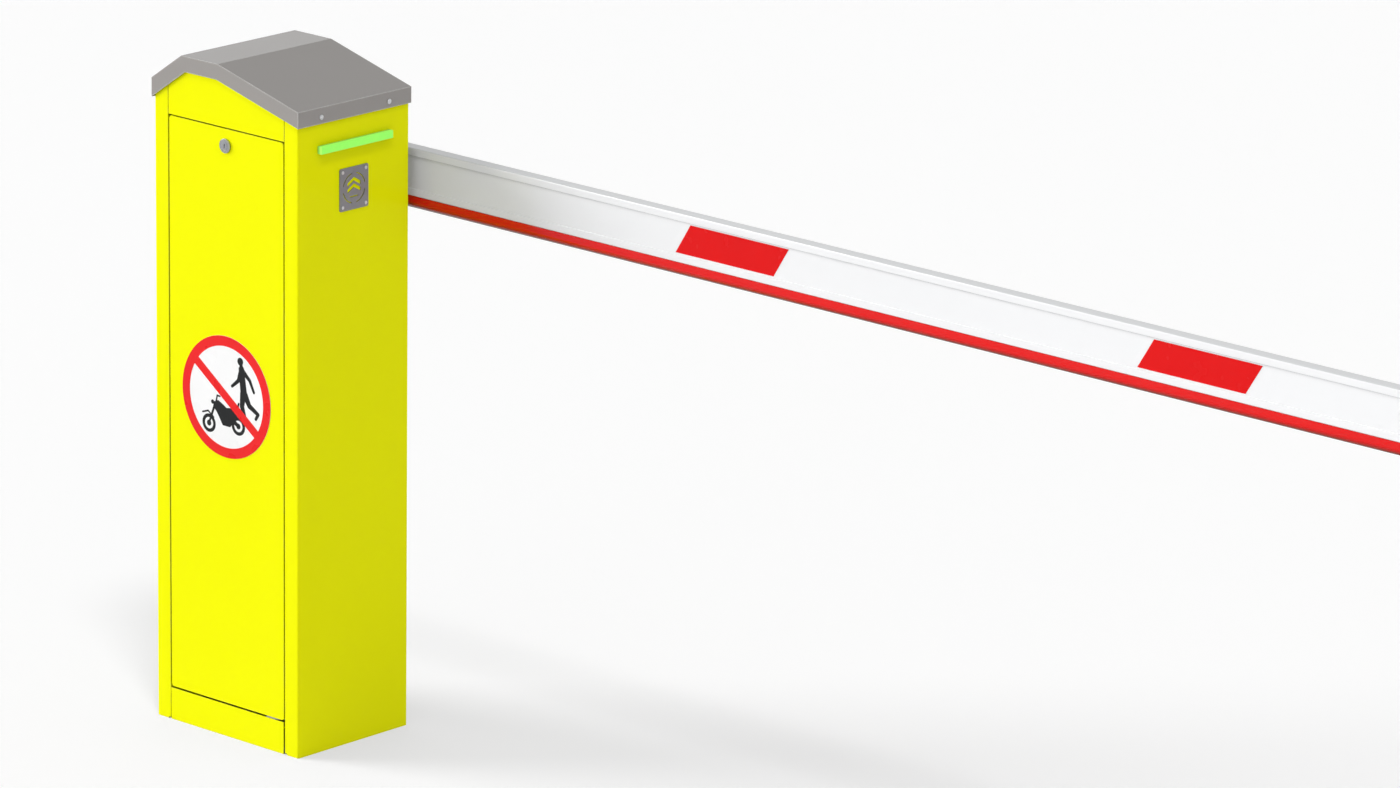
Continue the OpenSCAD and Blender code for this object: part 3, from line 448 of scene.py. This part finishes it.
# Half the slash's width, its angle, and the sizes of the thin plates that make up the print
SLASH_HALF = 0.0073
SLASH_ANGLE = math.radians(-35.5)
FIGURE_DEPTH = 0.00010
FIGURE_STEP = 0.000006
RING_DEPTH = 0.00025
RING_INSET = 0.0001


def add_piece(name, mesh, material, body):
    piece = bpy.data.objects.new(name, mesh)
    piece.data.materials.clear()
    piece.data.materials.append(material)
    SCENE.collection.objects.link(piece)
    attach(piece, body)
    return piece


def arc(cx, cz, radius, start, stop, steps):
    """Points of an arc, with angles in radians."""
    return [
        (cx + radius * math.cos(start + (stop - start) * i / steps),
         cz + radius * math.sin(start + (stop - start) * i / steps))
        for i in range(steps + 1)]


def flat_mesh(name, outlines, depth):
    """A thin plate in the sign's plane. Outlines inside the first one are holes."""
    curve = bpy.data.curves.new(name, "CURVE")
    curve.dimensions = "2D"
    curve.fill_mode = "BOTH"
    curve.extrude = depth / 2
    for outline in outlines:
        spline = curve.splines.new("POLY")
        spline.points.add(len(outline) - 1)
        for point, (x, z) in zip(spline.points, outline):
            point.co = (x, z, 0, 1)
        spline.use_cyclic_u = True
    holder = bpy.data.objects.new(name, curve)
    SCENE.collection.objects.link(holder)
    depsgraph = bpy.context.evaluated_depsgraph_get()
    mesh = bpy.data.meshes.new_from_object(holder.evaluated_get(depsgraph))
    bpy.data.objects.remove(holder)
    bpy.data.curves.remove(curve)
    stand = Matrix.Rotation(math.pi / 2, 4, "X")
    front = Matrix.Translation((SIGN_X, SIGN_LOW.y - depth / 2, SIGN_Z))
    mesh.transform(front @ stand)
    return mesh


def make_ring():
    """Red ring and slash: a disc with two openings, each a segment of the inner circle."""
    steps = 96
    edge = math.asin(SLASH_HALF / RING_INNER)
    outlines = [arc(0, 0, SIGN_R - RING_INSET, 0, 2 * math.pi, 2 * steps)[:-1]]
    for turn in (0, math.pi):
        middle = SLASH_ANGLE + turn
        outlines.append(arc(0, 0, RING_INNER, middle + edge, middle + math.pi - edge, steps))
    ring = add_piece("sign_ring", flat_mesh("sign_ring", outlines, RING_DEPTH), SIGN_RED, "door")


def stroke(start, stop):
    """Outline of a tapered stroke. Each end is (x, z, radius) in millimetres from the sign's centre."""
    (x0, z0, r0), (x1, z1, r1) = start, stop
    heading = math.atan2(z1 - z0, x1 - x0)
    spread = math.acos((r0 - r1) / math.hypot(x1 - x0, z1 - z0))
    far = arc(x1, z1, r1, heading - spread, heading + spread, 10)
    near = arc(x0, z0, r0, heading + spread, heading + 2 * math.pi - spread, 10)
    return [[(x * MM, z * MM) for x, z in far + near]]


def round_spot(x, z, radius, hole=0.0):
    """Outline of a disc or a ring, in millimetres from the sign's centre."""
    rings = [radius] + ([hole] if hole else [])
    return [arc(x * MM, z * MM, r * MM, 0, 2 * math.pi, 40)[:-1] for r in rings]


def shape(*points):
    return [[(x * MM, z * MM) for x, z in points]]


def make_figure(name, shapes):
    """One silhouette of thin plates. Each plate is a hair thicker than the last, so no two faces coincide."""
    work = bmesh.new()
    for i, outlines in enumerate(shapes):
        plate = flat_mesh(f"{name}_{i}", outlines, FIGURE_DEPTH + i * FIGURE_STEP)
        work.from_mesh(plate)
        bpy.data.meshes.remove(plate)
    mesh = bpy.data.meshes.new(name)
    work.to_mesh(mesh)
    work.free()
    figure = add_piece(name, mesh, SIGN_BLACK, "door")


def make_walker():
    """A walking figure, striding to the left."""
    make_figure("sign_walker", [
        stroke((33, 50, 6.0), (38, 12, 7.0)),
        round_spot(30.5, 62, 6.2),
        stroke((31.5, 58, 3.2), (34, 50, 4.0)),
        stroke((31.5, 47, 4.0), (26, 31, 3.2)),
        stroke((26, 31, 3.2), (12.5, 20, 2.4)),
        stroke((36, 48, 4.2), (51, 36, 3.0)),
        stroke((51, 36, 3.0), (60, 19, 2.4)),
        stroke((36.5, 12, 6.4), (34, -8, 4.6)),
        stroke((34, -8, 4.6), (43, -32, 3.2)),
        stroke((40, 12, 6.2), (50, -4, 4.4)),
        stroke((50, -4, 4.4), (69, -14, 3.2)),
        stroke((69, -14, 3.0), (64, -22, 2.6))])


def make_motorcycle():
    """A motorcycle that faces left: two wheels, body, fork, guard and handlebar."""
    front = (-38, -48)
    rear = (26, -41)
    make_figure("sign_motorcycle", [
        shape((-27, -12), (-18, -8), (-7, -13), (0, -17), (12, -15), (24, -12), (31, -15), (30, -22),
              (22, -28), (16, -38), (8, -46), (-8, -46), (-16, -34), (-22, -26), (-29, -20)),
        round_spot(*front, 14.5, 9.0),
        round_spot(*rear, 14.5, 9.0),
        round_spot(*front, 4.6),
        round_spot(*rear, 4.6),
        stroke((-25, -16, 2.2), (-38, -48, 1.8)),
        stroke((14, -34, 4.0), (26, -41, 3.0)),
        stroke((-23, -14, 1.6), (-20, -1, 1.3)),
        stroke((-20, -1, 1.4), (-14, -1.5, 1.3)),
        stroke((-52, -33, 1.3), (-40, -29, 1.3)),
        stroke((-40, -29, 1.3), (-28, -37, 1.3)),
        stroke((24, -14, 2.2), (27, -5, 1.6)),
        round_spot(-30, -13, 3.4)])


# ---- Balance spring ----

WIRE_R = 0.0032
SPRING_TURNS = 26
STEPS_PER_TURN = 28
# Share of a turn at each end that lies flat against its neighbour, and how far that turn climbs
FLAT_TURNS = 0.9
FLAT_CLIMB = 2.1 * WIRE_R


def make_spring():
    """The coil at its length with the boom down. Its two end turns lie flat."""
    low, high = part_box("balance_spring")
    radius = (high.x - low.x) / 2 - WIRE_R
    centre = ((low.x + high.x) / 2, (low.y + high.y) / 2)
    total = SPRING_TURNS * STEPS_PER_TURN
    rise = high.z - low.z - 2 * WIRE_R
    flat_turn = FLAT_TURNS / SPRING_TURNS
    curve = bpy.data.curves.new("spring_coil", "CURVE")
    curve.dimensions = "3D"
    curve.bevel_depth = WIRE_R
    curve.bevel_resolution = 4
    curve.use_fill_caps = True
    spline = curve.splines.new("POLY")
    spline.points.add(total)
    for i, point in enumerate(spline.points):
        angle = 2 * math.pi * i / STEPS_PER_TURN
        share = i / total
        level = min(max((share - flat_turn) / (1 - 2 * flat_turn), 0.0), 1.0)
        first_turn = min(share / flat_turn, 1.0)
        last_turn = max(0.0, (share - 1 + flat_turn) / flat_turn)
        climb = FLAT_CLIMB * (first_turn + last_turn)
        height = low.z + WIRE_R + climb + (rise - 2 * FLAT_CLIMB) * level
        point.co = (centre[0] + radius * math.cos(angle), centre[1] + radius * math.sin(angle), height, 1)
    holder = bpy.data.objects.new("spring_coil", curve)
    SCENE.collection.objects.link(holder)
    depsgraph = bpy.context.evaluated_depsgraph_get()
    mesh = bpy.data.meshes.new_from_object(holder.evaluated_get(depsgraph))
    bpy.data.objects.remove(holder)
    for polygon in mesh.polygons:
        polygon.use_smooth = True
    coil = add_piece("spring_coil", mesh, MATERIALS["spring_paint"], "cabinet")
    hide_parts("balance_spring")
    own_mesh(coil)


# ---- Screws of the controller lid ----


def socket_screw(name, places, head_r, head_h, body):
    """Socket-head screws that face -Y. Each place is the centre of a head's seat."""
    sides = 32
    # Each step of the profile: its share of the head's radius, and its share of the head's height
    profile = [(1.0, 0.0), (1.0, 0.85), (0.88, 1.0), (0.55, 1.0), (0.50, 0.9), (0.50, 0.35)]
    mesh = bpy.data.meshes.new(name)
    work = bmesh.new()
    for x, y, z in places:
        rings = []
        for radius_share, height_share in profile:
            rings.append([
                work.verts.new((
                    x + head_r * radius_share * math.cos(2 * math.pi * k / sides),
                    y - head_h * height_share,
                    z + head_r * radius_share * math.sin(2 * math.pi * k / sides)))
                for k in range(sides)])
        for first, second in zip(rings, rings[1:]):
            for k in range(sides):
                after = (k + 1) % sides
                work.faces.new((first[k], first[after], second[after], second[k]))
        work.faces.new(rings[0][::-1])
        work.faces.new(rings[-1])
    bmesh.ops.recalc_face_normals(work, faces=work.faces)
    work.to_mesh(mesh)
    work.free()
    screws = add_piece(name, mesh, MATERIALS["zinc"], body)


def box_corners(node, inset, y):
    """The four corners of a node's box in x and z, moved in by inset."""
    low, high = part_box(node)
    return [(x, y, z) for x in (low.x + inset, high.x - inset) for z in (low.z + inset, high.z - inset)]


def make_fasteners():
    lid_low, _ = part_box("controller_lid")
    sunk = 0.0001
    corners = box_corners("controller_lid", 0.009, lid_low.y + sunk)
    socket_screw("lid_screws", corners, head_r=0.0032, head_h=0.0004, body="cabinet")


# ---- Build ----

paint_cad_nodes()
for node_name, edge_radius in EDGE_RADII.items():
    round_edges(node_name, edge_radius)
make_ring()
make_walker()
make_motorcycle()
make_spring()
make_fasteners()

# ---- Floor ----


def make_floor():
    mesh = bpy.data.meshes.new("floor")
    reach = 60.0
    corners = [(-reach, -reach, 0), (reach, -reach, 0), (reach, reach, 0), (-reach, reach, 0)]
    mesh.from_pydata(corners, [], [(0, 1, 2, 3)])
    floor = bpy.data.objects.new("floor", mesh)
    SCENE.collection.objects.link(floor)
    shader = Shader("floor_paint", (0.76, 0.76, 0.76), 0.85, specular=0.1)
    seen = shader.node("ShaderNodeLightPath").outputs["Is Camera Ray"]
    shader.links.new(shader.ranged(seen, 0.0, 0.30, 0.0, 1.0), shader.shader.inputs["Emission Strength"])
    floor.data.materials.append(
        shader.finish(variation=0.005, tone_scale=0.4, rough_change=0.03, bump=0.02, bump_scale=50.0))


make_floor()
